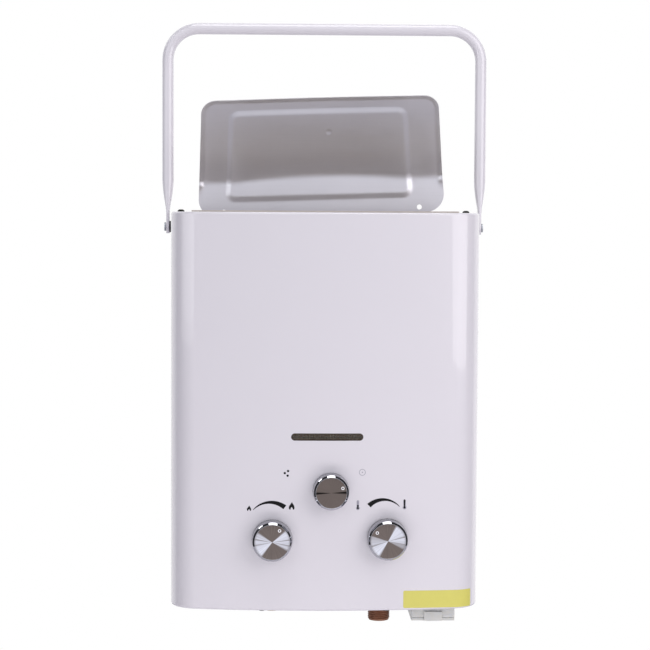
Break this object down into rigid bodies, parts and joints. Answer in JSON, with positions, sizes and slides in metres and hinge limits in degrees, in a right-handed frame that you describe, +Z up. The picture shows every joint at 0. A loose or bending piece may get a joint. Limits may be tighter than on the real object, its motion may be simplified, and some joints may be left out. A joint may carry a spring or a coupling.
{
  "type": "portable propane water heater",
  "caption": "Slim wall-hung gas water heater with a bowed white case, carrying bail, fold-down steel rain hood, viewing slot, spun-metal knobs and battery box.",
  "frame": {"origin": "middle of the back plate's lower edge, on the wall plane, level with the underside of the case", "axes": "+X to the right seen from the front, +Y into the wall (the front faces -Y), +Z up"},
  "size_m": [0.3116, 0.1449, 0.5725],
  "materials": {
    "white_paint": "gloss powder coat",
    "stainless": "satin rolled sheet",
    "zinc_steel": "zinc plated",
    "black_steel": "matt heat-proof paint",
    "spun_metal": "radially spun face, polished bevel",
    "brass": "turned and cast",
    "copper": "bare copper",
    "aluminium_casting": "die-cast",
    "black_plastic": "moulded",
    "milky_plastic": "translucent moulded",
    "rubber": "moulded",
    "glass": "heat-proof",
    "ceramic": "glazed",
    "cell_jacket": "plain wrapped",
    "lead_insulation": "silicone"
  },
  "bodies": {
    "case": {"front_cover": "white_paint", "back_plate": "white_paint", "top_panel": "white_paint", "bottom_panel": "zinc_steel", "flue_grille": "black_steel", "window_mesh": "zinc_steel", "window_glass": "glass", "cover_screws": "black_steel", "handle_screws": "zinc_steel", "handle_bushes": "black_plastic", "handle_nuts": "zinc_steel", "hood_hinge_rod": "zinc_steel", "hood_hinge_ears": "stainless", "gas_valve_body": "aluminium_casting", "gas_solenoid": "zinc_steel", "season_valve_body": "aluminium_casting", "gas_link_pipe": "copper", "gas_manifold": "aluminium_casting", "burner_nozzles": "brass", "burner_tray": "zinc_steel", "burner_blades": "stainless", "combustion_chamber": "copper", "chamber_brackets": "zinc_steel", "exchanger_fins": "copper", "exchanger_tube": "copper", "flue_collector": "stainless", "water_valve_body": "brass", "water_valve_cover": "aluminium_casting", "diaphragm": "rubber", "microswitch": "black_plastic", "switch_bracket": "zinc_steel", "cold_pipe": "copper", "hot_pipe": "copper", "water_inlet": "copper", "water_outlet": "brass", "gas_inlet": "brass", "drain_plug": "brass", "fitting_nuts": "brass", "igniter_box": "black_plastic", "electrodes": "ceramic", "wiring": "lead_insulation", "overheat_sensor": "black_plastic", "battery_case": "milky_plastic", "battery_lid_pin": "zinc_steel", "battery_cells": "cell_jacket", "battery_contacts": "brass"},
    "handle": {"handle": "white_paint"},
    "hood": {"hood": "stainless", "hood_hinge_leaves": "stainless"},
    "flame_knob": {"flame_knob": "black_plastic", "flame_knob_cap": "spun_metal", "flame_shaft": "brass"},
    "season_knob": {"season_knob": "black_plastic", "season_knob_cap": "spun_metal", "season_shaft": "brass"},
    "water_knob": {"water_knob": "black_plastic", "water_knob_cap": "spun_metal", "water_shaft": "brass"},
    "battery_lid": {"battery_lid": "milky_plastic"},
    "push_rod": {"push_rod": "brass"}
  },
  "joints": [
    {"name": "handle_swing", "type": "hinge", "parent": "case", "child": "handle", "pos_m": [0, -0.04, 0.3555], "axis": [1, 0, 0], "range_deg": [-162, 149]},
    {"name": "hood_fold", "type": "hinge", "parent": "case", "child": "hood", "pos_m": [0, -0.005, 0.3685], "axis": [1, 0, 0], "range_deg": [0, 58]},
    {"name": "flame_turn", "type": "hinge", "parent": "case", "child": "flame_knob", "pos_m": [-0.0488, -0.11, 0.067], "axis": [0, -1, 0], "range_deg": [0, 90]},
    {"name": "season_turn", "type": "hinge", "parent": "case", "child": "season_knob", "pos_m": [0.0054, -0.12, 0.1128], "axis": [0, -1, 0], "range_deg": [0, 135]},
    {"name": "water_turn", "type": "hinge", "parent": "case", "child": "water_knob", "pos_m": [0.0579, -0.11, 0.068], "axis": [0, -1, 0], "range_deg": [-105, 0]},
    {"name": "battery_lid_fold", "type": "hinge", "parent": "case", "child": "battery_lid", "pos_m": [0.1035, -0.023, -0.0115], "axis": [1, 0, 0], "range_deg": [0, 95]},
    {"name": "push_rod_slide", "type": "slide", "parent": "case", "child": "push_rod", "axis": [-1, 0, 0], "range_m": [0, 0.003], "stiffness_N_per_m": 500}
  ]
}
